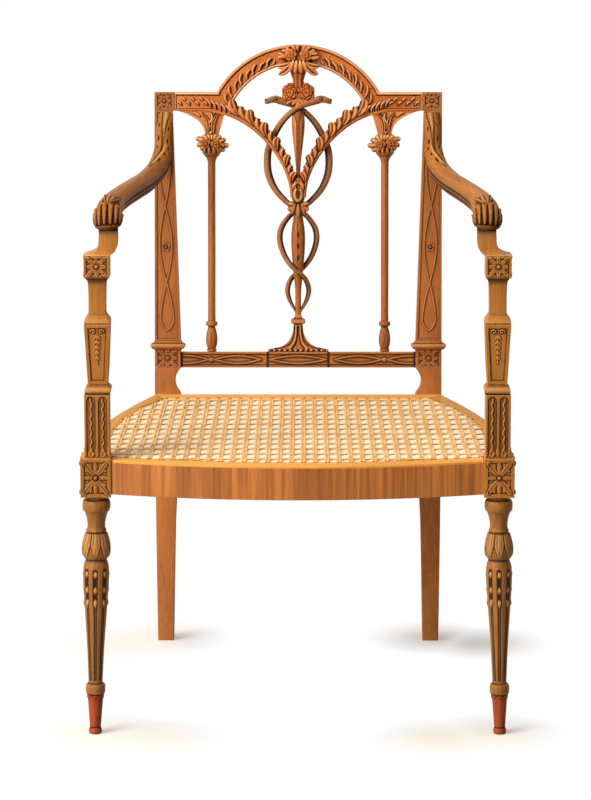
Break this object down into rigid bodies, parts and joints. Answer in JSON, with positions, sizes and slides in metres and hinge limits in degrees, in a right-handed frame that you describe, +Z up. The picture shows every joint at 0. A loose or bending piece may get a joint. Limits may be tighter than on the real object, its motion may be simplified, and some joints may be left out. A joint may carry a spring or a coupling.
{
  "type": "open armchair",
  "caption": "Square-back open armchair in carved satinwood: arched pierced crest, ribbons twined round a centre staff, turned fluted front legs and a caned seat.",
  "frame": {"origin": "on the floor, at the centre of the chair's bounding box", "axes": "+X to the viewer's right as one faces the chair, +Y towards the back, +Z up"},
  "size_m": [0.598, 0.5884, 0.9078],
  "materials": {
    "satinwood": "waxed satinwood, semi-gloss, with darker carved hollows",
    "crest_wood": "waxed satinwood, redder, semi-gloss",
    "seat_frame_wood": "satinwood veneer, cross-grained on the front rail, semi-gloss",
    "cane": "split cane, natural, slight sheen",
    "block_wood": "plain sawn beech",
    "screw_steel": "dull steel"
  },
  "bodies": {
    "root": {"back_post_left": "satinwood", "back_post_right": "satinwood", "flower_capital_left": "satinwood", "flower_capital_right": "satinwood", "column_left": "satinwood", "column_right": "satinwood", "ribbon_left": "satinwood", "ribbon_right": "satinwood", "arm_left": "satinwood", "arm_right": "satinwood", "front_post_left": "satinwood", "front_post_right": "satinwood", "centre_staff": "satinwood", "staff_calyx": "satinwood", "staff_foot": "satinwood", "lower_back_rail": "satinwood", "crest_rail": "crest_wood", "corbel_left": "crest_wood", "corbel_right": "crest_wood", "branch_left": "crest_wood", "branch_right": "crest_wood", "crown_flower": "crest_wood", "rose_left": "crest_wood", "rose_right": "crest_wood", "front_rail": "seat_frame_wood", "rear_rail": "seat_frame_wood", "side_rail_left": "seat_frame_wood", "side_rail_right": "seat_frame_wood", "cane_panel": "cane", "front_glue_block_left": "block_wood", "front_glue_block_right": "block_wood", "rear_glue_block_left": "block_wood", "rear_glue_block_right": "block_wood", "arm_screw_left": "screw_steel", "arm_screw_right": "screw_steel"}
  },
  "joints": []
}
